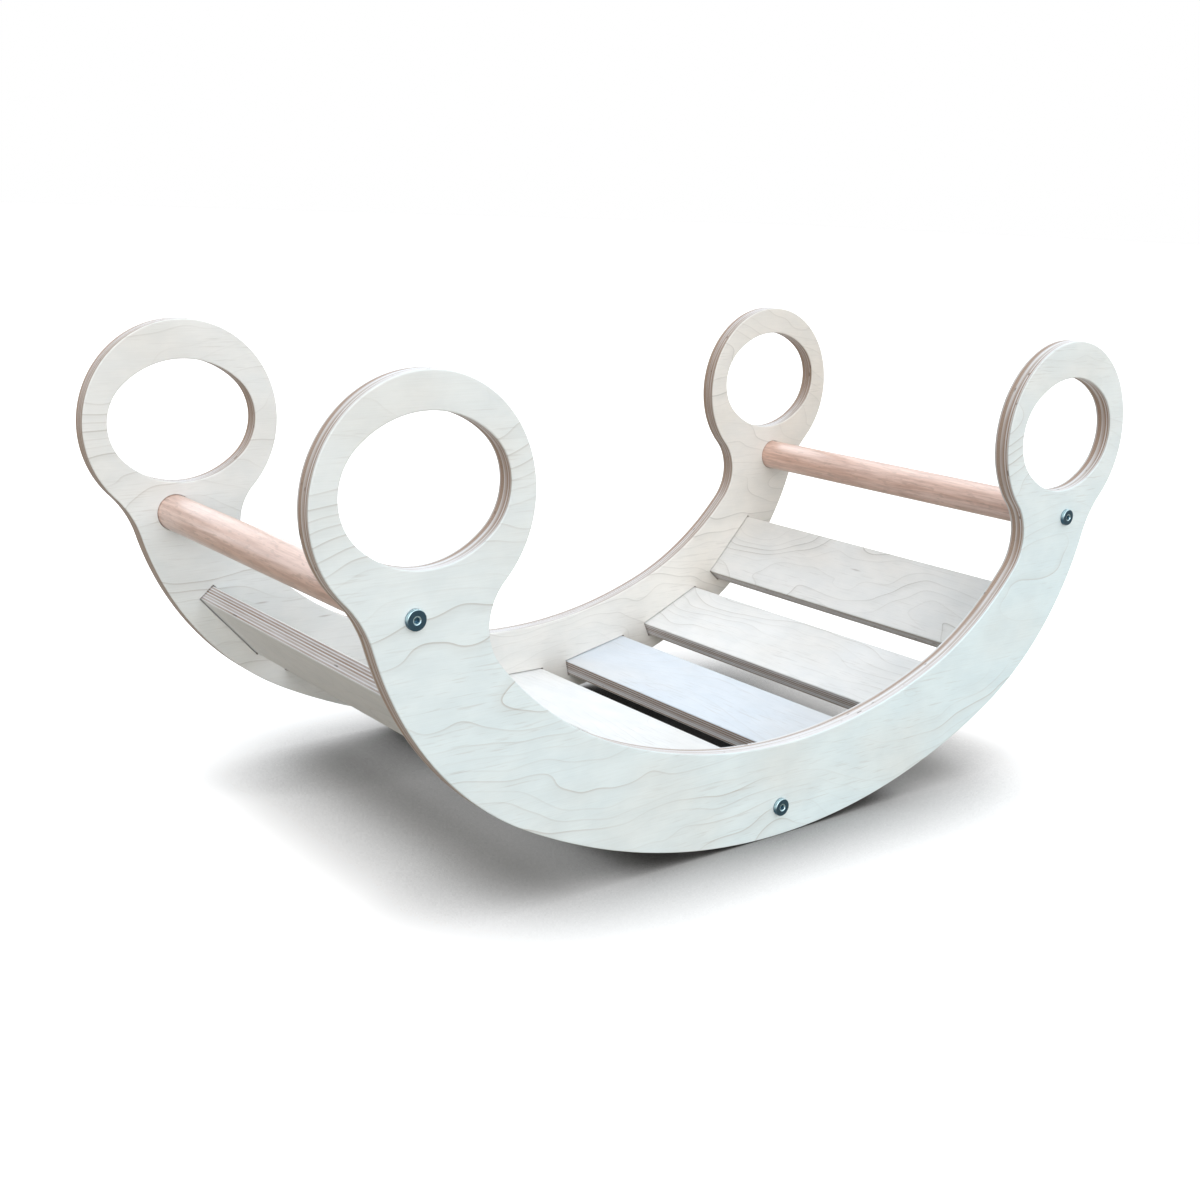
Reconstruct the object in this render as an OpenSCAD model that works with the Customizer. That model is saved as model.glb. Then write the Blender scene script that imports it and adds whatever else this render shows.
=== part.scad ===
// Wooden rocker arch for children: two crescent side panels of birch plywood whose
// tips widen into rings with hand holes, seven plywood slats that make the seat,
// two beech handle bars, and six flat-headed bolts screwed into insert nuts.
// Millimetres, Z up. It stands on its rocking edges at Z = 0, its length along X,
// and the front panel faces -Y.

/* [Side panels] */
// Radius of the rocking edge
rocker_r = 621; // [560:1:700]
// Depth of the band from the rocking edge to the rim above it
band_depth = 92; // [82:1:104]
// Thickness of the plywood of the side panels
panel_t = 18; // [15:1:24]
// Width over the outer faces of the two side panels
width = 465; // [300:1:640]

/* [End rings] */
// Outer radius of a ring
ring_r = 98; // [94:1:104]
// Distance of a ring's centre from the middle of the panel
ring_x = 390.5; // [380:0.5:405]
// Height of a ring's centre above the floor
ring_z = 357.5; // [345:0.5:375]
// Width of a hand hole
hole_w = 149; // [130:1:160]
// Height of a hand hole
hole_h = 119; // [108:1:130]
// Radius of the two ends of a hand hole
hole_end_r = 50; // [42:1:53]
// Rise of one hand hole above its ring's centre
hole_rise_a = 8.5; // [0:0.5:12]
// Rise of the other hand hole above its ring's centre
hole_rise_b = 1; // [0:0.5:12]

/* [Necks] */
// Angle from the middle at which the outer edge leaves the rocking edge
shoulder_from = 28.2; // [26:0.2:31]
// Radius of the outer edge's shoulder
shoulder_r = 295; // [280:1:310]
// Radius of the hollow between shoulder and ring
outer_fillet_r = 98; // [70:1:120]
// Angle from the middle at which the inner edge leaves the rim
flank_from = 21.6; // [18:0.2:25]
// Radius of the inner edge's flank
flank_r = 322; // [300:1:345]
// Radius of the hollow between flank and ring
inner_fillet_r = 52; // [40:1:62]

/* [Seat slats] */
// Width of a slat
slat_w = 88.5; // [70:0.5:96]
// Thickness of a slat
slat_t = 18; // [14:1:22]
// Angle between neighbouring slats, seen from the centre of the rocking edge
slat_pitch = 12.2; // [11:0.1:12.6]
// Middle of a slat above the rocking edge
slat_rise = 29.5; // [26:0.5:40]
// Angle of the two end slats, seen from the centre of the rocking edge
end_slat_angle = 36.2; // [35:0.1:37.4]
// Middle of an end slat above the rocking edge
end_slat_rise = 41; // [39:0.5:46]
// Extra tilt of the end slats
end_slat_tilt = 11.7; // [6:0.1:14]
// Radius of a slat's long edges
slat_edge_r = 2; // [1:0.5:4]

/* [Handle bars] */
// Diameter of a handle bar
bar_d = 35; // [28:1:38]
// Distance of a bar's axis outwards from its ring's centre
bar_out = 11.5; // [3.5:0.5:15.5]
// Distance of a bar's axis below its ring's centre
bar_drop = 87.5; // [83.5:0.5:95.5]
// Chamfer on the ends of a bar
bar_chamfer = 0.8; // [0.4:0.1:2]

/* [Seats in the panels] */
// Depth of the pockets for the slats and of the sockets for the bars
seat_depth = 6; // [4:0.5:9]
// Clearance all round a slat or a bar in its seat
seat_clearance = 0.2; // [0.1:0.05:0.4]

/* [Bolts] */
// Diameter of a bolt's head
head_d = 17; // [14:0.5:22]
// Height of a bolt's head
head_h = 4; // [3:0.5:6]
// Bevel round the top of a head
head_bevel = 0.7; // [0.3:0.1:1.2]
// Diameter of a bolt's shank
shank_d = 6; // [5:0.5:7]
// Length of a bolt's shank below the head
shank_l = 36; // [32:1:60]
// Width across the flats of the hexagon socket
hex_af = 5; // [4:0.5:5]
// Depth of the hexagon socket
hex_depth = 3; // [2:0.5:5]
// Bevel round the mouth of the hexagon socket
mouth_bevel = 0.6; // [0.3:0.1:0.9]
// Clearance round the shank in the side panel
shank_clearance = 0.25; // [0.1:0.05:0.5]

/* [Insert nuts] */
// Outer diameter of an insert nut
insert_d = 10; // [9:0.5:12]
// Length of an insert nut
insert_l = 20; // [14:1:28]
// Length of the tip hole beyond the bolt's end
tip_room = 4; // [2:1:10]

/* [Hidden] */
$fn = 96;
eps = 0.01;
// Slats on each side of the middle one
side_slats = 3;

birch = [0.88, 0.88, 0.85];
birch_seat = [0.90, 0.89, 0.85];
beech = [0.80, 0.62, 0.52];
zinc = [0.36, 0.46, 0.52];
steel = [0.62, 0.62, 0.60];

// A point at distance r from c, at the angle a from straight down towards +X
function swung(c, r, a) = c + r * [sin(a), -cos(a)];

// The angle from straight down towards +X in which v points
function heading(v) = atan2(v.x, -v.y);

// The point at distance rp from p and rq from q, on the right of the line from p to q
function meet(p, rp, q, rq) =
    let (d = q - p, l = norm(d), u = d / l)
    let (along = (rp * rp - rq * rq + l * l) / (2 * l))
    let (across = sqrt(rp * rp - along * along))
    p + along * u + across * [u.y, -u.x];

// Centres of the arcs that make the outline of a side panel. Each arc runs into the
// next, so a centre lies where both its neighbours' radii meet.
rim_r = rocker_r - band_depth;
hub = [0, rocker_r];
ring = [ring_x, ring_z];
shoulder = swung(hub, rocker_r - shoulder_r, shoulder_from);
outer_fillet = meet(shoulder, shoulder_r + outer_fillet_r, ring, ring_r + outer_fillet_r);
flank = swung(hub, rim_r - flank_r, flank_from);
inner_fillet = meet(flank, flank_r - inner_fillet_r, ring, ring_r + inner_fillet_r);
// Overlap of neighbouring sectors, on the side where it lies inside the larger one
lap = 5;

// Seats and what sits in them
inner_face = width / 2 - panel_t;
seat_floor = inner_face + seat_depth;
span = 2 * seat_floor;
bar_x = ring_x + bar_out;
bar_z = ring_z - bar_drop;
bolt_places = [[-bar_x, bar_z], [0, slat_rise], [bar_x, bar_z]];
shank_tip = width / 2 - shank_l;

// Turns the XY plane of an outline into the XZ plane, with its thickness centred on Y
module upright(y, t) {
    translate([0, y, 0])
        rotate([90, 0, 0])
            linear_extrude(t, center = true)
                children();
}

// A disc of radius r about c, cut to the sector between two headings up to 100 apart
module sector(c, r, from, to) {
    reach = 1.6 * r;
    intersection() {
        translate(c)
            circle(r, $fn = 360);
        polygon([c, swung(c, reach, from), swung(c, reach, to)]);
    }
}

module both_ends() {
    children();
    mirror([1, 0])
        children();
}

// Everything above the outer edge of the panel: rocking edge, shoulders and necks
module above_outer_edge() {
    sector(hub, rocker_r, -shoulder_from, shoulder_from);
    both_ends() {
        sector(shoulder, shoulder_r, shoulder_from - lap,
            heading(outer_fillet - shoulder) + lap);
        difference() {
            polygon([shoulder, outer_fillet, ring]);
            translate(outer_fillet)
                circle(outer_fillet_r, $fn = 180);
        }
    }
}

// Everything above the inner edge of the panel: rim, flanks and necks
module above_inner_edge() {
    top = 2 * rocker_r;
    sector(hub, rim_r, -flank_from, flank_from);
    both_ends() {
        sector(flank, flank_r, flank_from - lap, heading(inner_fillet - flank));
        translate(inner_fillet)
            circle(inner_fillet_r, $fn = 180);
    }
    polygon([
        inner_fillet, ring, [ring.x, top],
        [-ring.x, top], [-ring.x, ring.y], [-inner_fillet.x, inner_fillet.y]
    ]);
}

module crescent() {
    difference() {
        above_outer_edge();
        above_inner_edge();
    }
    for (side = [-1, 1])
        translate([side * ring.x, ring.y])
            circle(ring_r, $fn = 180);
}

// An oval of four arcs that run into each other
module oval(w, h, end_r) {
    reach = w / 2 - end_r;
    side_r = (pow(reach, 2) + pow(h / 2, 2) - pow(end_r, 2)) / (h - 2 * end_r);
    drop = side_r - h / 2;
    joint_x = side_r * reach / (side_r - end_r);
    intersection() {
        square([2 * joint_x, h], center = true);
        translate([0, -drop])
            circle(side_r, $fn = 180);
        translate([0, drop])
            circle(side_r, $fn = 180);
    }
    for (side = [-1, 1])
        translate([side * reach, 0])
            circle(end_r, $fn = 180);
}

module rounded_board(w, h, r) {
    square([w - 2 * r, h], center = true);
    square([w, h - 2 * r], center = true);
    for (x = [-1, 1], y = [-1, 1])
        translate([x * (w / 2 - r), y * (h / 2 - r)])
            circle(r, $fn = 48);
}

// Puts a slat's section in its place: i counts the slats from the middle one outwards
module slat_place(i) {
    last = abs(i) == side_slats;
    angle = last ? sign(i) * end_slat_angle : i * slat_pitch;
    rise = last ? end_slat_rise : slat_rise;
    tilt = last ? sign(i) * end_slat_tilt : 0;
    translate(swung(hub, rocker_r - rise, angle))
        rotate(angle + tilt)
            children();
}

// Pockets, sockets and bolt holes, cut from the inner face of the front panel
module panel_cuts() {
    floor_y = -inner_face - seat_depth / 2;
    upright(floor_y + eps, seat_depth + 2 * eps) {
        for (i = [-side_slats:side_slats])
            slat_place(i)
                rounded_board(slat_w + 2 * seat_clearance, slat_t + 2 * seat_clearance,
                    slat_edge_r);
        for (x = [-bar_x, bar_x])
            translate([x, bar_z])
                circle(d = bar_d + 2 * seat_clearance);
    }
    upright(-width / 2 + panel_t / 2, panel_t + 2 * eps)
        for (p = bolt_places)
            translate(p)
                circle(d = shank_d + 2 * shank_clearance, $fn = 48);
}

module side_panel() {
    difference() {
        upright(-width / 2 + panel_t / 2, panel_t)
            difference() {
                crescent();
                translate([-ring_x, ring_z + hole_rise_a])
                    oval(hole_w, hole_h, hole_end_r);
                translate([ring_x, ring_z + hole_rise_b])
                    oval(hole_w, hole_h, hole_end_r);
            }
        panel_cuts();
    }
}

module side_panel_front() {
    color(birch)
        side_panel();
}

// The same part as the front panel, turned half round
module side_panel_rear() {
    color(birch)
        rotate([0, 0, 180])
            side_panel();
}

module slat(i) {
    color(birch_seat)
        upright(0, span)
            slat_place(i)
                rounded_board(slat_w, slat_t, slat_edge_r);
}

// Holes in both ends of a slat or bar for an insert nut and for the bolt's tip
module end_bores() {
    tip_y = shank_tip - tip_room;
    for (side = [0, 180])
        rotate([0, 0, side])
            rotate([-90, 0, 0]) {
                translate([0, 0, seat_floor - insert_l])
                    cylinder(d = insert_d, h = insert_l + eps, $fn = 48);
                translate([0, 0, tip_y])
                    cylinder(d = shank_d + 2 * shank_clearance, h = seat_floor - tip_y,
                        $fn = 48);
            }
}

module slat_left_end() slat(-3);
module slat_left_outer() slat(-2);
module slat_left_inner() slat(-1);

module slat_centre() {
    difference() {
        slat(0);
        translate([0, 0, slat_rise])
            end_bores();
    }
}

module slat_right_inner() slat(1);
module slat_right_outer() slat(2);
module slat_right_end() slat(3);

module handle_bar(x) {
    straight = span - 2 * bar_chamfer;
    color(beech)
        translate([x, 0, bar_z])
            difference() {
                rotate([90, 0, 0]) {
                    cylinder(d = bar_d, h = straight, center = true);
                    for (side = [0, 1])
                        mirror([0, 0, side])
                            translate([0, 0, straight / 2])
                                cylinder(d1 = bar_d, d2 = bar_d - 2 * bar_chamfer,
                                    h = bar_chamfer);
                }
                end_bores();
            }
}

module handle_bar_left() handle_bar(-bar_x);
module handle_bar_right() handle_bar(bar_x);

// Puts what stands along +Z from the outer face of a panel at each of the six bolts
module at_bolts() {
    for (side = [0, 180])
        rotate([0, 0, side])
            for (p = bolt_places)
                translate([p.x, -width / 2, p.y])
                    rotate([90, 0, 0])
                        children();
}

module bolt() {
    head_r = head_d / 2;
    mouth_r = hex_af / 2 / cos(30) + mouth_bevel;
    difference() {
        union() {
            rotate_extrude()
                polygon([
                    [0, 0], [head_r, 0], [head_r, head_h - head_bevel],
                    [head_r - head_bevel, head_h], [0, head_h]
                ]);
            translate([0, 0, -shank_l])
                cylinder(d = shank_d, h = shank_l + eps, $fn = 48);
        }
        translate([0, 0, head_h - hex_depth])
            cylinder(d = hex_af / cos(30), h = hex_depth + eps, $fn = 6);
        translate([0, 0, head_h - mouth_bevel])
            cylinder(r1 = mouth_r - mouth_bevel, r2 = mouth_r + eps,
                h = mouth_bevel + eps, $fn = 48);
    }
}

module panel_bolts() {
    color(zinc)
        at_bolts() bolt();
}

// Threaded sleeves flush with the ends of the bars and of the centre slat
module insert_nuts() {
    depth = width / 2 - seat_floor;
    color(steel)
        at_bolts()
            translate([0, 0, -depth - insert_l])
                difference() {
                    cylinder(d = insert_d, h = insert_l, $fn = 48);
                    translate([0, 0, -eps])
                        cylinder(d = shank_d, h = insert_l + 2 * eps, $fn = 48);
                }
}

side_panel_front();
side_panel_rear();
slat_left_end();
slat_left_outer();
slat_left_inner();
slat_centre();
slat_right_inner();
slat_right_outer();
slat_right_end();
handle_bar_left();
handle_bar_right();
panel_bolts();
insert_nuts();
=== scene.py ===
from math import atan2, cos, degrees, pi, radians, sin, sqrt

import bmesh
import bpy
from mathutils import Matrix, Vector


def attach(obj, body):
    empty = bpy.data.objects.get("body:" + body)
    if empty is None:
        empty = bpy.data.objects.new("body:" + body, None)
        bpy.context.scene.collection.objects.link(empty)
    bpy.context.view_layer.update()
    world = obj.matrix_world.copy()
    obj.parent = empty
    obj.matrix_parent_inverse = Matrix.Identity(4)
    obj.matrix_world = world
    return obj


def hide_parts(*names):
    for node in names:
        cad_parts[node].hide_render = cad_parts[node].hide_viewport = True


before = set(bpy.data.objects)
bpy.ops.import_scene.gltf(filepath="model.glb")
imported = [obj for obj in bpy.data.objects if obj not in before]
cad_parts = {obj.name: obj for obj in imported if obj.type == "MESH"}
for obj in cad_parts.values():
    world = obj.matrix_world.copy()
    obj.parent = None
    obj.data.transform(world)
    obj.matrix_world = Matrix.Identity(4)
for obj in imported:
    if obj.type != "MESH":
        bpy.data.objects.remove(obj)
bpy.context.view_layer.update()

# ---------------------------------------------------------------------------
# The camera stands low at the front left and looks down the length of the rocker.
# It comes first, so that every later piece is judged in its view.
view = bpy.data.cameras.new("view")
view.lens = 45.254
view.sensor_width = 36
view.clip_end = 100
eye = bpy.data.objects.new("eye", view)
eye.location = (-0.966944, -1.168151, 0.575666)
eye.rotation_euler = (radians(75.25043), radians(-2.07764), radians(-37.81967))
bpy.context.scene.collection.objects.link(eye)
bpy.context.scene.camera = eye


# ---------------------------------------------------------------------------
# The two side panels are routed from 18 mm birch plywood of 13 plies and are the same
# part, one turned half round. Their edges are eased with a small round cutter, and
# pockets for the slats and sockets for the bars are routed into the inner faces.
mm = 0.001
ROCKER_R = 621 * mm
BAND_DEPTH = 92 * mm
PANEL_T = 18 * mm
WIDTH = 465 * mm
RING = Vector((390.5, 357.5)) * mm
RING_R = 98 * mm
HOLE_SIZE = (149 * mm, 119 * mm)
HOLE_END_R = 50 * mm
HOLE_RISES = {-1: 8.5 * mm, 1: 1 * mm}
SHOULDER_FROM, SHOULDER_R, OUTER_FILLET_R = 28.2, 295 * mm, 98 * mm
FLANK_FROM, FLANK_R, INNER_FILLET_R = 21.6, 322 * mm, 52 * mm
EASING = 1.2 * mm
SEAT_DEPTH = 6 * mm
CUT_BEYOND = 2 * mm
MERGE_WITHIN = 0.001 * mm
HUB = Vector((0, ROCKER_R))
RIM_R = ROCKER_R - BAND_DEPTH
INNER_FACE = WIDTH / 2 - PANEL_T
SEAT_FLOOR = INNER_FACE + SEAT_DEPTH


def swung(centre, r, angle):
    """The point at distance r from centre, at an angle from straight down."""
    return centre + r * Vector((sin(radians(angle)), -cos(radians(angle))))


def heading(v):
    """The angle in degrees from straight down in which v points."""
    return degrees(atan2(v.x, -v.y))


def meet(p, rp, q, rq):
    """The point at rp from p and rq from q, on the right of the line from p to q."""
    d = q - p
    along = (rp ** 2 - rq ** 2 + d.length_squared) / (2 * d.length)
    u = d.normalized()
    return p + along * u + sqrt(rp ** 2 - along ** 2) * Vector((u.y, -u.x))


def arc(centre, r, start, end, step=2.2 * mm):
    """Points along an arc, without its last one, about 2 mm apart."""
    count = max(3, round(abs(radians(end - start)) * r / step))
    return [swung(centre, r, start + (end - start) * i / count) for i in range(count)]


def panel_outline():
    """The panel's right half from the middle of the rocking edge round the ring to the
    middle of the rim, followed by its mirror image."""
    shoulder = swung(HUB, ROCKER_R - SHOULDER_R, SHOULDER_FROM)
    outer = meet(shoulder, SHOULDER_R + OUTER_FILLET_R, RING, RING_R + OUTER_FILLET_R)
    flank = swung(HUB, RIM_R - FLANK_R, FLANK_FROM)
    inner = meet(flank, FLANK_R - INNER_FILLET_R, RING, RING_R + INNER_FILLET_R)
    leave_shoulder = heading(outer - shoulder)
    leave_outer = heading(outer - RING)
    leave_ring = heading(inner - RING)
    leave_inner = heading(inner - flank)
    right = arc(HUB, ROCKER_R, 0, SHOULDER_FROM)
    right += arc(shoulder, SHOULDER_R, SHOULDER_FROM, leave_shoulder)
    right += arc(outer, OUTER_FILLET_R, leave_shoulder - 180, leave_outer - 180)
    right += arc(RING, RING_R, leave_outer, leave_ring + 360)
    right += arc(inner, INNER_FILLET_R, leave_ring + 180, leave_inner)
    right += arc(flank, FLANK_R, leave_inner, FLANK_FROM)
    right += arc(HUB, RIM_R, FLANK_FROM, 0)
    right.append(swung(HUB, RIM_R, 0))
    left = [Vector((-p.x, p.y)) for p in reversed(right[1:-1])]
    return right + left


def oval(centre, size, end_r):
    """An oval of four arcs that run into each other."""
    w, h = size
    reach = w / 2 - end_r
    side_r = (reach ** 2 + (h / 2) ** 2 - end_r ** 2) / (h - 2 * end_r)
    drop = side_r - h / 2
    turn = degrees(atan2(reach, drop))
    points = []
    for start, end, c, r in [
        (-turn, turn, Vector((0, drop)), side_r),
        (turn, 180 - turn, Vector((reach, 0)), end_r),
        (180 - turn, 180 + turn, Vector((0, -drop)), side_r),
        (180 + turn, 360 - turn, Vector((-reach, 0)), end_r),
    ]:
        points += arc(centre + c, r, start, end)
    return points


def plate(name, loops, thickness, easing):
    """A mesh of a plate in the XZ plane with eased edges, its middle at y = 0."""
    curve = bpy.data.curves.new(name, "CURVE")
    curve.dimensions = "2D"
    curve.fill_mode = "BOTH"
    curve.extrude = thickness / 2 - easing
    curve.bevel_depth = easing
    curve.bevel_resolution = 3
    curve.offset = -easing
    for loop in loops:
        spline = curve.splines.new("POLY")
        spline.points.add(len(loop) - 1)
        for point, p in zip(spline.points, loop):
            point.co = (p.x, p.y, 0, 1)
        spline.use_cyclic_u = True
    piece = bpy.data.objects.new(name, curve)
    bpy.context.scene.collection.objects.link(piece)
    mesh = plain_mesh(piece)
    bpy.data.objects.remove(piece)
    mesh.transform(Matrix.Rotation(pi / 2, 4, "X"))
    merge_doubles(mesh)
    return mesh


def plain_mesh(piece):
    """The evaluated piece as a mesh with nothing live on it."""
    graph = bpy.context.evaluated_depsgraph_get()
    graph.update()
    return bpy.data.meshes.new_from_object(piece.evaluated_get(graph), depsgraph=graph)


def merge_doubles(mesh):
    """Joins the points that lie on each other and turns the normals outwards."""
    bm = bmesh.new()
    bm.from_mesh(mesh)
    bmesh.ops.remove_doubles(bm, verts=bm.verts, dist=MERGE_WITHIN)
    bmesh.ops.recalc_face_normals(bm, faces=bm.faces)
    bm.to_mesh(mesh)
    bm.free()


def place(name, mesh, material, slot, *nodes):
    """Puts a finished mesh in the scene as a piece that stands for CAD nodes."""
    piece = bpy.data.objects.new(name, mesh)
    bpy.context.scene.collection.objects.link(piece)
    mesh.materials.clear()
    mesh.materials.append(material)
    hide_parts(*nodes)
    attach(piece, "root")
    return piece


def cut(mesh, *tools):
    """The mesh with closed tool meshes taken away from it, one after the other."""
    piece = bpy.data.objects.new("stock", mesh)
    bpy.context.scene.collection.objects.link(piece)
    cutters = []
    for tool in tools:
        cutter = bpy.data.objects.new("tool", tool)
        bpy.context.scene.collection.objects.link(cutter)
        boolean = piece.modifiers.new("cut", "BOOLEAN")
        boolean.operation = "DIFFERENCE"
        boolean.solver = "EXACT"
        boolean.object = cutter
        cutters.append(cutter)
    shape = plain_mesh(piece)
    for used in cutters + [piece]:
        bpy.data.objects.remove(used)
    return shape


def prism(bm, section, y0, y1):
    """A closed bar along Y with the given section, added to bm."""
    near = [bm.verts.new((p.x, y0, p.y)) for p in section]
    far = [bm.verts.new((p.x, y1, p.y)) for p in section]
    bm.faces.new(near)
    bm.faces.new(list(reversed(far)))
    for i in range(len(section)):
        j = (i + 1) % len(section)
        bm.faces.new((near[j], near[i], far[i], far[j]))


def tool(sections, y0, y1):
    """A mesh of closed bars along Y, to cut with."""
    bm = bmesh.new()
    for section in sections:
        prism(bm, section, y0, y1)
    bmesh.ops.recalc_face_normals(bm, faces=bm.faces)
    mesh = bpy.data.meshes.new("tool")
    bm.to_mesh(mesh)
    bm.free()
    return mesh


def disc(centre, r, step=1.5 * mm):
    """Points round a full circle."""
    return arc(centre, r, 0, 360, step)


# Where the slats, bars and bolts meet the panels. SIDE_SLATS counts the slats on each
# side of the middle one.
SIDE_SLATS = 3
SLAT_W, SLAT_T = 88.5 * mm, 18 * mm
SLAT_PITCH, SLAT_RISE = 12.2, 29.5 * mm
END_SLAT_ANGLE, END_SLAT_RISE, END_SLAT_TILT = 36.2, 41 * mm, 11.7
SLAT_GAP = 1.15 * mm
BAR_R = 17.5 * mm
BAR_GAP = 0.6 * mm
BARS = [Vector((-402, 270)) * mm, Vector((402, 270)) * mm]
BOLT_PLACES = [BARS[0], Vector((0, 29.5)) * mm, BARS[1]]
BOLT_HOLE_R = 3.25 * mm


def slat_section(i, w, t):
    """The four corners of slat i, counted from the middle one."""
    side = (i > 0) - (i < 0)
    angle, rise, tilt = i * SLAT_PITCH, SLAT_RISE, 0
    if abs(i) == SIDE_SLATS:
        angle, rise, tilt = side * END_SLAT_ANGLE, END_SLAT_RISE, side * END_SLAT_TILT
    centre = swung(HUB, ROCKER_R - rise, angle)
    turn = Matrix.Rotation(radians(angle + tilt), 2)
    corners = [(-w / 2, -t / 2), (w / 2, -t / 2), (w / 2, t / 2), (-w / 2, t / 2)]
    return [centre + turn @ Vector(c) for c in corners]


class Wire:
    """A socket of a node tree, with arithmetic that adds the Math nodes."""

    def __init__(self, tree, socket=None):
        self.tree = tree
        self.socket = socket

    def make(self, kind, settings=None, sockets=None, out=0):
        """Any node: its settings are set first, then its sockets are set or linked."""
        node = self.tree.nodes.new(kind)
        for name, value in (settings or {}).items():
            setattr(node, name, value)
        for key, value in (sockets or {}).items():
            if isinstance(value, Wire):
                self.tree.links.new(value.socket, node.inputs[key])
            else:
                node.inputs[key].default_value = value
        return Wire(self.tree, node.outputs[out])

    def math(self, operation, a, b=0.0):
        return self.make("ShaderNodeMath", {"operation": operation}, {0: a, 1: b})

    def __add__(self, other):
        return self.math("ADD", self, other)

    def __sub__(self, other):
        return self.math("SUBTRACT", self, other)

    def __mul__(self, other):
        return self.math("MULTIPLY", self, other)

    def __truediv__(self, other):
        return self.math("DIVIDE", self, other)

    def __pow__(self, other):
        return self.math("POWER", self, other)

    def __rsub__(self, other):
        return self.math("SUBTRACT", other, self)

    def __rtruediv__(self, other):
        return self.math("DIVIDE", other, self)

    __radd__ = __add__
    __rmul__ = __mul__

    def step(self, low, high, to_low=0.0, to_high=1.0):
        """A smooth step from to_low at low to to_high at high."""
        return self.make(
            "ShaderNodeMapRange", {"interpolation_type": "SMOOTHSTEP"},
            {"Value": self, "From Min": low, "From Max": high,
             "To Min": to_low, "To Max": to_high})

    def noise(self, scale, detail, roughness):
        """Fractal noise from 0 to 1 at this vector."""
        return self.make(
            "ShaderNodeTexNoise", {},
            {"Vector": self, "Scale": scale, "Detail": detail, "Roughness": roughness})

    def mix(self, a, b):
        """The colour a where this wire is 0 and b where it is 1."""
        return self.make(
            "ShaderNodeMix", {"data_type": "RGBA"}, {0: self, 6: a, 7: b}, out=2)

    def tint(self, other):
        """This colour multiplied by another."""
        return self.make(
            "ShaderNodeMix", {"data_type": "RGBA", "blend_type": "MULTIPLY"},
            {0: 1.0, 6: self, 7: other}, out=2)

    def parts(self):
        """The x, y and z of this vector."""
        split = self.tree.nodes.new("ShaderNodeSeparateXYZ")
        self.tree.links.new(self.socket, split.inputs[0])
        return [Wire(self.tree, s) for s in split.outputs]

    def attribute(self, name, out):
        return self.make("ShaderNodeAttribute", {"attribute_name": name}, out=out)

    def vector(self, x, y, z):
        return self.make("ShaderNodeCombineXYZ", {}, {0: x, 1: y, 2: z})


def new_material(name):
    """An empty material, the wire to build it with, and its shader node."""
    material = bpy.data.materials.new(name)
    material.use_nodes = True
    tree = material.node_tree
    return material, Wire(tree), tree.nodes["Principled BSDF"]


def feed(shader, name, wire):
    wire.tree.links.new(wire.socket, shader.inputs[name])


PLIES = 13
VENEER = (0.79, 0.80, 0.79, 1)
VENEER_PALE = (0.84, 0.855, 0.86, 1)
VENEER_COOL = (0.71, 0.845, 0.885, 1)
VENEER_BLUE = (0.68, 0.745, 0.82, 1)
VENEER_WARM = (0.73, 0.69, 0.635, 1)
FIGURE = (0.44, 0.42, 0.385, 1)
FLECK = (0.24, 0.19, 0.16, 1)
SIDE_GRAIN = (0.80, 0.81, 0.83, 1)
END_GRAIN = (0.35, 0.24, 0.175, 1)
GLUE = (0.13, 0.10, 0.085, 1)
GLUE_LIT = (0.74, 0.68, 0.63, 1)
MOTTLE_DARK = (0.955, 0.962, 0.965, 1)
MOTTLE_LIGHT = (1.02, 1.015, 1.01, 1)
FIBRE_DARK = (0.975, 0.972, 0.968, 1)
WHITE = (1, 1, 1, 1)
LINES_PER_M = 50
LINE_SWAY = 14.0
LEAST_SLOPE = 4.0
BOARD_SHIFT = 3.17


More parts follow.
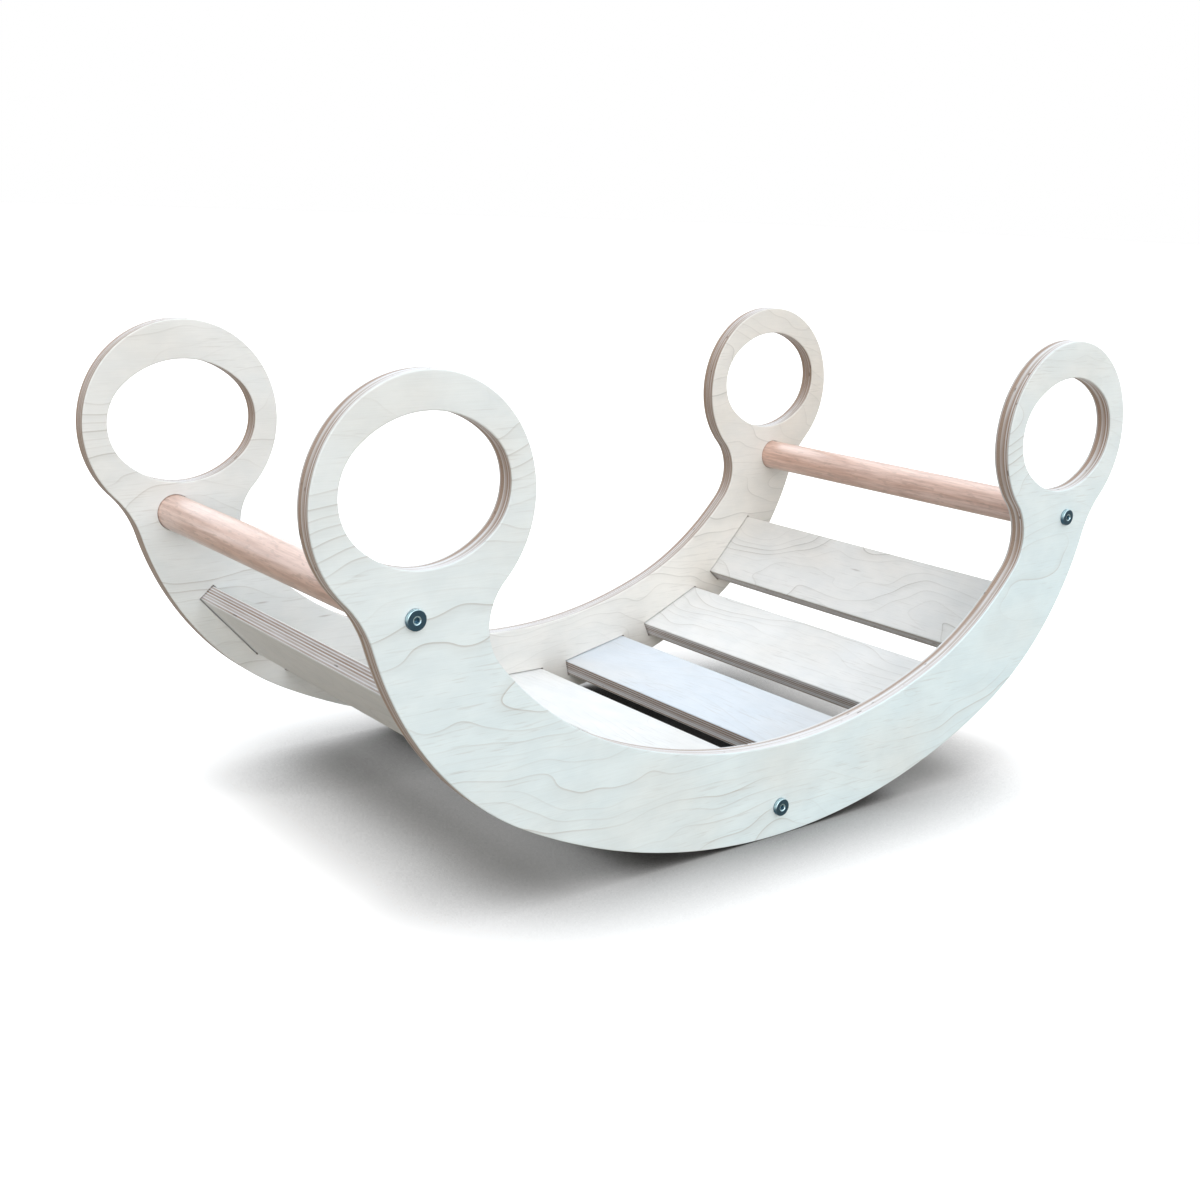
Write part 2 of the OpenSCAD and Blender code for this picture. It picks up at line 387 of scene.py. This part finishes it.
def plywood():
    """Birch plywood seen on its face and on its edge alike. The attribute board holds
    each point's place in its own board: x with the grain, y across it, z through it.
    The attribute number tells the boards apart, warmth is the tone of the face veneer
    from -1 (cool) to 1 (warm), figure the strength of its grain, and lengthwise is 1
    in the panels and 0 in the slats."""
    material, w, shader = new_material("birch_plywood")
    x, y, z = w.attribute("board", "Vector").parts()
    number = w.attribute("number", "Fac")
    warmth = w.attribute("warmth", "Fac")
    figure = w.attribute("figure", "Fac")
    lengthwise = w.attribute("lengthwise", "Fac")
    shift = number * BOARD_SHIFT

    # Rotary-cut figure: the contour lines of a slow height field, drawn out with the
    # grain. The field's slope gives a line the same width everywhere.
    def height(x, y):
        slow = w.vector(x * 3.2 + shift, y * 6.5, shift).noise(1.0, 1.0, 0.45)
        swirl = w.vector(x * 11.0 + shift, y * 20.0, shift + 5).noise(1.0, 1.0, 0.5)
        return y * LINES_PER_M + slow * LINE_SWAY + (swirl - 0.5) * (figure * 2.4 + 0.4)

    here = height(x, y)
    slope_x = (height(x + mm, y) - here) / mm
    slope_y = (height(x, y + mm) - here) / mm
    steep = (slope_x * slope_x + slope_y * slope_y) ** 0.5 + LEAST_SLOPE
    away = (1 - w.math("FRACT", here)) / steep
    line = away.step(0.3 * mm, 1.9 * mm, 1.0, 0.0)
    shade = away.step(0.0, 11 * mm, 1.0, 0.0)
    patchy = w.vector(x * 5 + shift, y * 16, shift + 9).noise(1.0, 1.0, 0.5)
    patchy = patchy.step(0.36, 0.66, 0.15, 1.0) * figure
    fine = w.vector(x * 30 + shift, y * 480, shift + 4).noise(1.0, 2.0, 0.6)
    dense = w.vector(x * 8 + shift, y * 14, shift + 6).noise(1.0, 1.0, 0.5)
    dense = dense.step(0.38, 0.64, 0.2, 1.0)
    fibre = w.vector(x * 28 + shift, y * 900, z * 900).noise(1.0, 2.0, 0.6)
    cloud = w.vector(x * 5 + shift, y * 8, shift + 2).noise(1.0, 2.0, 0.5)
    cool = w.math("MAXIMUM", warmth * -1, 0.0) * y.step(0.15, 0.42, 1.0, 0.35)
    warm = w.math("MAXIMUM", warmth, 0.0) * 0.8 + cloud.step(0.46, 0.74) * 0.36
    blue = lengthwise.mix(VENEER_BLUE, VENEER_COOL)
    plain = lengthwise.mix(VENEER_PALE, VENEER)
    face = w.math("MINIMUM", warm, 1.0).mix(cool.mix(plain, blue), VENEER_WARM)
    each = w.make("ShaderNodeTexWhiteNoise", {"noise_dimensions": "1D"},
                  {"W": w.math("FLOOR", here) + shift}, out="Value")
    strength = patchy * (each * 0.85 + 0.2)
    lines = (line * 0.42 + shade * 0.15) * strength
    lines = lines + fine.step(0.56, 0.72) * dense * 0.26
    face = lines.mix(face, FIGURE)
    mottle = w.vector(x * 26 + shift, y * 42, shift + 7).noise(1.0, 3.0, 0.6)
    face = face.tint(mottle.step(0.3, 0.7).mix(MOTTLE_DARK, MOTTLE_LIGHT))
    face = face.tint(fibre.step(0.3, 0.7).mix(FIBRE_DARK, WHITE))

    # Short dark flecks, few and lying with the grain
    cells = {"Vector": w.vector(x * 14 + shift, y * 110, shift), "Scale": 1.0}
    away_from_cell = w.make("ShaderNodeTexVoronoi", {}, cells, out="Distance")
    pick = w.make("ShaderNodeTexVoronoi", {}, cells, out="Color").parts()[0]
    fleck = away_from_cell.step(0.03, 0.17, 1.0, 0.0) * pick.step(0.93, 0.95)
    face = (fleck * 0.6).mix(face, FLECK)

    # The plies, from one face to the other, each of its own tone. The odd ones show end
    # grain on every edge, the even ones only where the edge faces along the panel. The
    # glue lines are dark, but pale where the edge faces along.
    wander = w.vector(x * 9, y * 9, z * 60 + shift).noise(1.0, 1.0, 0.5) - 0.5
    layer = (z / PANEL_T + 0.5) * PLIES + wander * 0.5
    ply = w.math("FLOOR", layer)
    within = w.math("FRACT", layer)
    odd = w.math("FLOORED_MODULO", ply, 2.0)
    tone = w.make("ShaderNodeTexWhiteNoise", {"noise_dimensions": "1D"},
                  {"W": ply * 1.7 + shift}, out="Value")
    streak = w.vector(x * 14, y * 14, ply * 7.3 + shift).noise(1.0, 2.0, 0.6)
    normal_x = w.make("ShaderNodeTexCoord", out="Normal").parts()[0]
    cut_long = w.math("ABSOLUTE", normal_x) * lengthwise
    cut_across = (cut_long * 0.4 - lengthwise * 0.25 + 0.65) * odd
    cut_across = cut_across + cut_long * (1 - odd)
    dark = cut_across * 0.85 + tone * 0.7 - 0.25 + (streak - 0.5) * 0.7
    edge = dark.step(0.0, 1.0).mix(SIDE_GRAIN, END_GRAIN)
    seam = within.step(0.0, 0.14, 1.0, 0.0) + within.step(0.88, 1.0)
    glue = cut_long.step(0.3, 0.9).mix(GLUE, GLUE_LIT)
    edge = (seam * tone.step(0.3, 0.9, 0.1, 0.7)).mix(edge, glue)
    pit = w.vector(x * 75, y * 75, ply * 3.1 + shift).noise(1.0, 1.0, 0.5)
    edge = (pit.step(0.70, 0.75) * odd * 0.75).mix(edge, GLUE)
    depth = PANEL_T / 2 - w.math("ABSOLUTE", z)
    inside = depth.step(0.9 * mm, 1.3 * mm)
    feed(shader, "Base Color", inside.mix(face, edge))

    rough = fibre.step(0.2, 0.8, 0.42, 0.52) + inside * 0.10
    feed(shader, "Roughness", rough)
    relief = fibre * 0.4 + line * patchy * -0.4 + seam * inside * -1.2
    bump = w.make("ShaderNodeBump", {}, {"Strength": 0.22, "Distance": 0.15 * mm,
                                         "Height": relief})
    feed(shader, "Normal", bump)
    shader.inputs["Specular IOR Level"].default_value = 0.45
    return material


birch_plywood = plywood()


def write_board(mesh, middle_y, number, figure, warmth_left, warmth_right):
    """Stores what the plywood reads at each point of a panel. The tone of its veneer
    runs from the left end's to the right end's."""
    board = mesh.attributes.new("board", "FLOAT_VECTOR", "POINT")
    flat = []
    for v in mesh.vertices:
        flat += [v.co.x, v.co.z, v.co.y - middle_y]
    board.data.foreach_set("vector", flat)
    for label, value in [("number", number), ("figure", figure), ("lengthwise", 1)]:
        same = mesh.attributes.new(label, "FLOAT", "POINT")
        same.data.foreach_set("value", [float(value)] * len(mesh.vertices))
    warmth = mesh.attributes.new("warmth", "FLOAT", "POINT")
    along = [min(max(v.co.x / RING.x / 2 + 0.5, 0), 1) for v in mesh.vertices]
    change = warmth_right - warmth_left
    warmth.data.foreach_set("value", [warmth_left + change * t for t in along])


def soften(mesh, angle=35):
    """Smooth shading that keeps flat faces flat and crisp edges crisp."""
    mesh.shade_smooth()
    mesh.set_sharp_from_angle(angle=radians(angle))
    piece = bpy.data.objects.new("shading", mesh)
    bpy.context.scene.collection.objects.link(piece)
    weigh = piece.modifiers.new("weigh", "WEIGHTED_NORMAL")
    weigh.keep_sharp = True
    shaded = plain_mesh(piece)
    bpy.data.objects.remove(piece)
    return shaded


middle = -(WIDTH - PANEL_T) / 2
holes = [oval(Vector((side * RING.x, RING.y + rise)), HOLE_SIZE, HOLE_END_R)
         for side, rise in HOLE_RISES.items()]
stock = plate("panel", [panel_outline()] + holes, PANEL_T, EASING)
stock.transform(Matrix.Translation((0, middle, 0)))
pockets = [slat_section(i, SLAT_W + 2 * SLAT_GAP, SLAT_T + 2 * SLAT_GAP)
           for i in range(-SIDE_SLATS, SIDE_SLATS + 1)]
sockets = [disc(bar, BAR_R + BAR_GAP) for bar in BARS]
bolt_holes = [disc(p, BOLT_HOLE_R, 1 * mm) for p in BOLT_PLACES]
panel_mesh = cut(
    stock,
    tool(pockets + sockets, -SEAT_FLOOR, -INNER_FACE + CUT_BEYOND),
    tool(bolt_holes, -WIDTH / 2 - CUT_BEYOND, -INNER_FACE + CUT_BEYOND))
panel_mesh = soften(panel_mesh)
rear_mesh = panel_mesh.copy()
write_board(panel_mesh, middle, number=1, figure=1.1, warmth_left=-0.62,
            warmth_right=-0.88)
rear_mesh.transform(Matrix.Rotation(pi, 4, "Z"))
write_board(rear_mesh, -middle, number=2, figure=1.2, warmth_left=-0.15,
            warmth_right=0.9)
place("front_panel_board", panel_mesh, birch_plywood, "birch_plywood",
      "side_panel_front")
place("rear_panel_board", rear_mesh, birch_plywood, "birch_plywood",
      "side_panel_rear")


# ---------------------------------------------------------------------------
# Seven plywood slats follow the curve of the rocking edge and make the seat. Their
# long edges are lightly rounded and their ends stand in the pockets. The two end
# slats lie higher and are tilted further.
SLAT_EDGE = 1.5 * mm
LINE_STEP = 1 * mm


def modifier_input(modifier, tree, name, value):
    """Sets the input of a node tree that has this name."""
    for item in tree.interface.items_tree:
        if item.item_type == "SOCKET" and item.in_out == "INPUT" and item.name == name:
            modifier[item.identifier] = value


def tree_of(name, inputs):
    """A new geometry node tree with named number inputs, and their wires by name."""
    tree = bpy.data.node_groups.new(name, "GeometryNodeTree")
    add = tree.interface.new_socket
    add("Geometry", in_out="INPUT", socket_type="NodeSocketGeometry")
    for label in inputs:
        add(label, in_out="INPUT", socket_type="NodeSocketFloat")
    add("Geometry", in_out="OUTPUT", socket_type="NodeSocketGeometry")
    start = tree.nodes.new("NodeGroupInput")
    end = tree.nodes.new("NodeGroupOutput")
    wires = {s.name: Wire(tree, s) for s in start.outputs if s.name}
    return tree, Wire(tree), wires, end


def grow(name, tree, values):
    """Runs a node tree once on an empty mesh and returns the plain mesh it makes."""
    piece = bpy.data.objects.new(name, bpy.data.meshes.new(name))
    bpy.context.scene.collection.objects.link(piece)
    modifier = piece.modifiers.new(name, "NODES")
    modifier.node_group = tree
    for label, value in values.items():
        modifier_input(modifier, tree, label, value)
    mesh = plain_mesh(piece)
    piece.modifiers.remove(modifier)
    bpy.data.objects.remove(piece)
    return mesh


def slat_tree():
    """Slats side by side on an arc: one board, stood at each number from the left."""
    tree, w, given, end = tree_of(
        "seat_slats",
        ["Hub height", "Middle radius", "Pitch", "End angle", "End radius", "End tilt",
         "Width", "Thickness", "Length", "Edge radius"])
    width, thickness, length = given["Width"], given["Thickness"], given["Length"]
    section = w.make("GeometryNodeCurvePrimitiveQuadrilateral", {},
                     {"Width": width, "Height": thickness})
    section = w.make("GeometryNodeFilletCurve", {"mode": "POLY"},
                     {"Curve": section, "Count": 4, "Radius": given["Edge radius"]})
    line = w.make("GeometryNodeCurvePrimitiveLine", {},
                  {"Start": w.vector(0, length * -0.5, 0),
                   "End": w.vector(0, length * 0.5, 0)})
    board = w.make("GeometryNodeCurveToMesh", {},
                   {"Curve": line, "Profile Curve": section, "Fill Caps": True})
    here = w.make("GeometryNodeInputPosition")
    px, py, pz = here.parts()
    board = w.make("GeometryNodeStoreNamedAttribute",
                   {"data_type": "FLOAT_VECTOR", "domain": "POINT"},
                   {"Geometry": board, "Name": "board", "Value": w.vector(py, px, pz)})
    points = w.make("GeometryNodeMeshLine", {"mode": "OFFSET"},
                    {"Count": 2 * SIDE_SLATS + 1, "Offset": (LINE_STEP, 0, 0)})
    index = w.make("GeometryNodeInputIndex")
    from_middle = index - SIDE_SLATS
    last = w.math("GREATER_THAN", w.math("ABSOLUTE", from_middle), SIDE_SLATS - 0.5)
    side = w.math("SIGN", from_middle)
    angle = from_middle * given["Pitch"] * (1 - last) + side * given["End angle"] * last
    radius = given["Middle radius"] * (1 - last) + given["End radius"] * last
    spot = w.vector(w.math("SINE", angle) * radius, 0,
                    given["Hub height"] - w.math("COSINE", angle) * radius)
    points = w.make("GeometryNodeSetPosition", {},
                    {"Geometry": points, "Position": spot})
    turn = w.vector(0, (angle + side * given["End tilt"] * last) * -1, 0)
    slats = w.make("GeometryNodeInstanceOnPoints", {},
                   {"Points": points, "Instance": board, "Rotation": turn})
    slats = w.make("GeometryNodeStoreNamedAttribute",
                   {"data_type": "FLOAT", "domain": "INSTANCE"},
                   {"Geometry": slats, "Name": "number", "Value": index * 1.37 + 11})
    # The slat to the right of the middle one is bluest, and the last two on the right
    # are warmer and have more figure.
    bluest = w.math("MAXIMUM", 1 - w.math("ABSOLUTE", from_middle - 1), 0.0)
    warmth = from_middle.step(1.0, SIDE_SLATS, 0.0, 0.4) - bluest * 0.9
    figure = from_middle.step(1.0, SIDE_SLATS, 0.4, 1.4)
    for label, value in [("warmth", warmth), ("figure", figure)]:
        slats = w.make("GeometryNodeStoreNamedAttribute",
                       {"data_type": "FLOAT", "domain": "INSTANCE"},
                       {"Geometry": slats, "Name": label, "Value": value})
    slats = w.make("GeometryNodeRealizeInstances", {}, {"Geometry": slats})
    slats = w.make("GeometryNodeSetMaterial", {},
                   {"Geometry": slats, "Material": birch_plywood})
    tree.links.new(slats.socket, end.inputs[0])
    return tree


slats_mesh = grow("seat_slats", slat_tree(), {
    "Hub height": ROCKER_R, "Middle radius": ROCKER_R - SLAT_RISE,
    "Pitch": radians(SLAT_PITCH), "End angle": radians(END_SLAT_ANGLE),
    "End radius": ROCKER_R - END_SLAT_RISE, "End tilt": radians(END_SLAT_TILT),
    "Width": SLAT_W, "Thickness": SLAT_T, "Length": 2 * SEAT_FLOOR,
    "Edge radius": SLAT_EDGE})
slats_mesh = soften(slats_mesh)
place("seat_slat_boards", slats_mesh, birch_plywood, "birch_plywood",
      "slat_left_end", "slat_left_outer", "slat_left_inner", "slat_centre",
      "slat_right_inner", "slat_right_outer", "slat_right_end")


# ---------------------------------------------------------------------------
# Two handle bars, cut from 35 mm beech dowel, join the panels under the rings. The
# ends have a small chamfer and stand in round sockets.
BAR_LENGTH = 2 * SEAT_FLOOR
BEECH = (0.67, 0.42, 0.325, 1)
BEECH_LIGHT = (0.76, 0.545, 0.465, 1)
BEECH_FLECK = (0.42, 0.26, 0.20, 1)
PORE_DARK = (0.77, 0.69, 0.65, 1)
PORE_LIGHT = (1.07, 1.07, 1.07, 1)


def turned(name, profile, steps):
    """A closed body turned about Z from a profile of (radius, height) pairs."""
    bm = bmesh.new()
    rings = []
    for r, h in profile:
        if r == 0:
            rings.append([bm.verts.new((0, 0, h))])
        else:
            rings.append([bm.verts.new((r * cos(2 * pi * i / steps),
                                        r * sin(2 * pi * i / steps), h))
                          for i in range(steps)])
    for lower, upper in zip(rings, rings[1:]):
        for i in range(steps):
            j = (i + 1) % steps
            corners = [lower[i % len(lower)], lower[j % len(lower)],
                       upper[j % len(upper)], upper[i % len(upper)]]
            bm.faces.new(list(dict.fromkeys(corners)))
    bmesh.ops.recalc_face_normals(bm, faces=bm.faces)
    mesh = bpy.data.meshes.new(name)
    bm.to_mesh(mesh)
    bm.free()
    return mesh


def beech():
    """Steamed beech: pinkish, with fine pores and short flecks along the bar (Y)."""
    material, w, shader = new_material("steamed_beech")
    here = w.make("ShaderNodeTexCoord", out="Object")
    x, y, z = here.parts()
    fibre = w.vector(x * 330, y * 20, z * 330).noise(1.0, 3.0, 0.65)
    band = w.vector(x * 70, y * 2.2, z * 70).noise(1.0, 2.0, 0.5)
    wood = band.step(0.3, 0.7).mix(BEECH, BEECH_LIGHT)
    wood = wood.tint(fibre.step(0.32, 0.66).mix(PORE_DARK, PORE_LIGHT))
    spot = w.vector(x * 330, y * 70, z * 330).noise(1.0, 2.0, 0.5)
    fleck = spot.step(0.56, 0.68)
    wood = (fleck * 0.50).mix(wood, BEECH_FLECK)
    feed(shader, "Base Color", wood)
    feed(shader, "Roughness", fibre.step(0.2, 0.8, 0.40, 0.52))
    bump = w.make("ShaderNodeBump", {}, {"Strength": 0.25, "Distance": 0.15 * mm,
                                         "Height": fibre * 0.6 - fleck * 0.4})
    feed(shader, "Normal", bump)
    shader.inputs["Coat Weight"].default_value = 1.0
    shader.inputs["Coat Roughness"].default_value = 0.28
    shader.inputs["Coat IOR"].default_value = 1.8
    return material


steamed_beech = beech()
half, chamfer, bands = BAR_LENGTH / 2, 0.8 * mm, 6
for bar, name in zip(BARS, ["left", "right"]):
    profile = [(0, -half), (BAR_R - chamfer, -half), (BAR_R, chamfer - half)]
    profile += [(BAR_R, half * i / bands) for i in range(1 - bands, bands)]
    profile += [(BAR_R, half - chamfer), (BAR_R - chamfer, half), (0, half)]
    mesh = turned("bar", profile, 96)
    stand = Matrix.Translation((bar.x, 0, bar.y)) @ Matrix.Rotation(pi / 2, 4, "X")
    mesh.transform(stand)
    place(f"handle_bar_{name}_dowel", soften(mesh), steamed_beech, "beech",
          f"handle_bar_{name}")


# ---------------------------------------------------------------------------
# Six furniture bolts with flat round heads and hexagon sockets hold the panels to the
# bars and to the centre slat. They are steel with a dark blue zinc finish.
HEAD_R, HEAD_H, SHANK_R, SHANK_L = 8.5 * mm, 4 * mm, 3 * mm, 36 * mm
HEX_R, HEX_DEPTH = 2.5 * mm, 3 * mm
GROOVES = 9000
ZINC_BLUE = (0.065, 0.125, 0.175, 1)
# The bright zinc colour below is painted on the bolt heads as a highlight.
ZINC_HIGHLIGHT = (0.62, 0.80, 0.84, 1)


def bolt_mesh():
    """A bolt along +Z, its head's seat at Z = 0, and the key that cuts its socket."""
    edge, tip = 0.7 * mm, 0.6 * mm
    profile = [(0, -SHANK_L), (SHANK_R - tip, -SHANK_L), (SHANK_R, tip - SHANK_L),
               (SHANK_R, -0.4 * mm), (SHANK_R, 0), (HEAD_R - 0.3 * mm, 0),
               (HEAD_R, 0.3 * mm), (HEAD_R, HEAD_H - edge)]
    profile += [(HEAD_R - edge * (1 - cos(a)), HEAD_H - edge * (1 - sin(a)))
                for a in [pi / 8, pi / 4, 3 * pi / 8]]
    profile += [(HEAD_R - edge, HEAD_H), (HEX_R + 1.6 * mm, HEAD_H),
                (HEX_R + 1.3 * mm, HEAD_H), (HEX_R + 0.7 * mm, HEAD_H - 0.5 * mm),
                (0, HEAD_H - 0.6 * mm)]
    mesh = turned("bolt", profile, 72)
    socket = [swung(Vector((0, 0)), HEX_R / cos(pi / 6), 60 * i) for i in range(6)]
    key = tool([socket], HEAD_H - HEX_DEPTH, HEAD_H + mm)
    key.transform(Matrix.Rotation(-pi / 2, 4, "X") @ Matrix.Scale(-1, 4, (0, 1, 0)))
    key.flip_normals()
    return mesh, key


def zinc():
    """Blue zinc plating, with a painted highlight on the upper side of the head's rim
    and a painted bright ring in the socket's mouth.
    The attribute turning holds each point's distance from the bolt's axis and height."""
    material, w, shader = new_material("blue_zinc")
    r, h, _ = w.attribute("turning", "Vector").parts()
    here = w.make("ShaderNodeTexCoord", out="Object")
    blotch = here.noise(420.0, 3.0, 0.6)
    normal_z = w.make("ShaderNodeTexCoord", out="Normal").parts()[2]
    # Painted highlights: a bright ring in the socket's mouth and on the upper side of
    # the head's rim, made blotchy.
    mouth = h.step(1.3 * mm, 1.8 * mm) * r.step(3.3 * mm, 3.8 * mm, 1.0, 0.0)
    rim = r.step(7.7 * mm, 8.35 * mm) * normal_z.step(-0.3, 0.3)
    rim = rim * h.step(0.5 * mm, 1.0 * mm)
    painted_highlight = w.math("MAXIMUM", mouth * 0.95, rim * 0.8)
    painted_highlight = painted_highlight * blotch.step(0.25, 0.6, 0.55, 1.0)
    feed(shader, "Base Color", painted_highlight.mix(ZINC_BLUE, ZINC_HIGHLIGHT))
    groove = w.math("SINE", r * GROOVES)
    feed(shader, "Roughness", blotch.step(0.2, 0.8, 0.24, 0.42))
    bump = w.make("ShaderNodeBump", {}, {"Strength": 0.2, "Distance": 0.05 * mm,
                                         "Height": groove * 0.5 + blotch})
    feed(shader, "Normal", bump)
    shader.inputs["Metallic"].default_value = 1.0
    return material


blue_zinc = zinc()
blank, key = bolt_mesh()
single = cut(blank, key)
turning = single.attributes.new("turning", "FLOAT_VECTOR", "POINT")
flat = []
for v in single.vertices:
    flat += [sqrt(v.co.x ** 2 + v.co.y ** 2), v.co.z, 0]
turning.data.foreach_set("vector", flat)
pattern = bpy.data.objects.new("bolt_pattern", soften(single, 30))
bpy.context.scene.collection.objects.link(pattern)


def bolt_tree():
    """The pattern bolt at three places of a panel, and again half a turn round."""
    tree, w, given, end = tree_of(
        "panel_bolts", ["Bar distance", "Bar height", "Middle height", "Half width"])
    points = w.make("GeometryNodeMeshLine", {"mode": "OFFSET"},
                    {"Count": 2 * len(BOLT_PLACES), "Offset": (LINE_STEP, 0, 0)})
    index = w.make("GeometryNodeInputIndex")
    along = w.math("FLOORED_MODULO", index, 3.0) - 1
    rear = w.math("GREATER_THAN", index, 2.5)
    outer = w.math("ABSOLUTE", along)
    height = given["Bar height"] * outer + given["Middle height"] * (1 - outer)
    spot = w.vector(along * given["Bar distance"], given["Half width"] * (rear * 2 - 1),
                    height)
    points = w.make("GeometryNodeSetPosition", {},
                    {"Geometry": points, "Position": spot})
    bolt = w.make("GeometryNodeObjectInfo", {}, {"Object": pattern}, out="Geometry")
    turn = w.vector(pi / 2, 0, rear * pi)
    bolts = w.make("GeometryNodeInstanceOnPoints", {},
                   {"Points": points, "Instance": bolt, "Rotation": turn})
    bolts = w.make("GeometryNodeRealizeInstances", {}, {"Geometry": bolts})
    bolts = w.make("GeometryNodeSetMaterial", {},
                   {"Geometry": bolts, "Material": blue_zinc})
    tree.links.new(bolts.socket, end.inputs[0])
    return tree


bolts_mesh = grow("panel_bolts", bolt_tree(), {
    "Bar distance": BARS[1].x, "Bar height": BARS[1].y,
    "Middle height": BOLT_PLACES[1].y, "Half width": WIDTH / 2})
bpy.data.objects.remove(pattern)
place("zinc_bolts", bolts_mesh, blue_zinc, "zinc_plated_steel", "panel_bolts")


# ---------------------------------------------------------------------------
# The insert nuts are hidden in the wood: steel sleeves pressed into the ends of the
# bars and of the centre slat. The CAD solids show as they are.
SLEEVE_DARK = (0.48, 0.48, 0.47, 1)
SLEEVE_LIGHT = (0.66, 0.66, 0.64, 1)


def sleeve_steel():
    material, w, shader = new_material("sleeve_steel")
    here = w.make("ShaderNodeTexCoord", out="Object")
    blotch = here.noise(300.0, 3.0, 0.6)
    feed(shader, "Base Color", blotch.mix(SLEEVE_DARK, SLEEVE_LIGHT))
    feed(shader, "Roughness", blotch.step(0.2, 0.8, 0.3, 0.5))
    shader.inputs["Metallic"].default_value = 1.0
    return material


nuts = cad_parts["insert_nuts"]
nuts.data.materials.clear()
nuts.data.materials.append(sleeve_steel())


# ---------------------------------------------------------------------------
# A white floor without an end, under a soft sky, with shade near the part painted into
# its colour. A broad lamp stands overhead, a second one fills the fronts from low at
# the left, and a faint one lights the back.
FLOOR_SEEN = (0.99, 0.98, 0.97, 1)
FLOOR_BOUNCE = (0.43, 0.395, 0.345, 1)
FLOOR_REACH = 40.0
BLACK = (0, 0, 0, 1)
# How far the floor's painted shade reaches, and which way it leans.
SHADE_REACH = 0.15
SHADE_LEAN = Vector((-0.05, 0.3, 0.95)).normalized()
SKY_GLOW = (1.0, 0.96, 0.92, 1)
SKY_STRENGTH = 0.08


def floor_paint():
    """White to the camera, with shade painted into its colour where the part is near
    above or a little behind, and a glow seen only by the camera that whitens the open
    floor and fades out in the painted shade.
    What lights the part from below is the duller bounce."""
    material, w, shader = new_material("floor_paint")
    seen = w.make("ShaderNodeLightPath", out="Is Camera Ray")
    open_above = w.make("ShaderNodeAmbientOcclusion", {"samples": 8},
                        {"Distance": SHADE_REACH, "Normal": w.vector(*SHADE_LEAN)},
                        out="AO")
    # Painted shade: the floor's colour darkens by how closed the space above it is.
    floor_with_painted_shade = (open_above ** 1.3).mix(BLACK, FLOOR_SEEN)
    feed(shader, "Base Color", seen.mix(FLOOR_BOUNCE, floor_with_painted_shade))
    # A glow seen only by the camera, strongest on the open floor and gone in the
    # painted shade.
    feed(shader, "Emission Strength", seen * open_above ** 3.0 * 0.3)
    shader.inputs["Emission Color"].default_value = WHITE
    shader.inputs["Roughness"].default_value = 0.9
    shader.inputs["Specular IOR Level"].default_value = 0.0
    return material


ground = bpy.data.meshes.new("ground")
corners = [(x * FLOOR_REACH, y * FLOOR_REACH, 0)
           for x, y in [(-1, -1), (1, -1), (1, 1), (-1, 1)]]
ground.from_pydata(corners, [], [(0, 1, 2, 3)])
ground.materials.append(floor_paint())
floor_piece = bpy.data.objects.new("floor", ground)
bpy.context.scene.collection.objects.link(floor_piece)

sky = bpy.data.worlds.new("sky")
bpy.context.scene.world = sky
sky.use_nodes = True
w = Wire(sky.node_tree)
background = sky.node_tree.nodes["Background"]
straight = w.make("ShaderNodeLightPath", out="Is Camera Ray")
mirrored = w.make("ShaderNodeLightPath", out="Is Glossy Ray")
shown = w.math("MAXIMUM", straight, mirrored)
feed(background, "Color", shown.mix(SKY_GLOW, WHITE))
feed(background, "Strength", shown * (1 - SKY_STRENGTH) + SKY_STRENGTH)


def soft_lamp(name, strength, spread, towards, colour):
    """A far, broad lamp that shines from the direction towards, in the row's frame."""
    lamp = bpy.data.lights.new(name, "SUN")
    lamp.energy = strength
    lamp.angle = radians(spread)
    lamp.color = colour
    piece = bpy.data.objects.new(name, lamp)
    piece.rotation_euler = Vector(towards).to_track_quat("Z", "Y").to_euler()
    bpy.context.scene.collection.objects.link(piece)


soft_lamp("high_lamp", 2.95, 120, (0.04, -0.22, 1.0), (0.94, 0.97, 1.0))
soft_lamp("front_lamp", 2.4, 50, (-0.34, -1.0, 0.06), (0.985, 0.985, 0.98))
soft_lamp("back_lamp", 0.95, 70, (0.10, 1.0, 0.35), (0.84, 0.93, 1.0))

bpy.context.scene.view_settings.view_transform = "Standard"
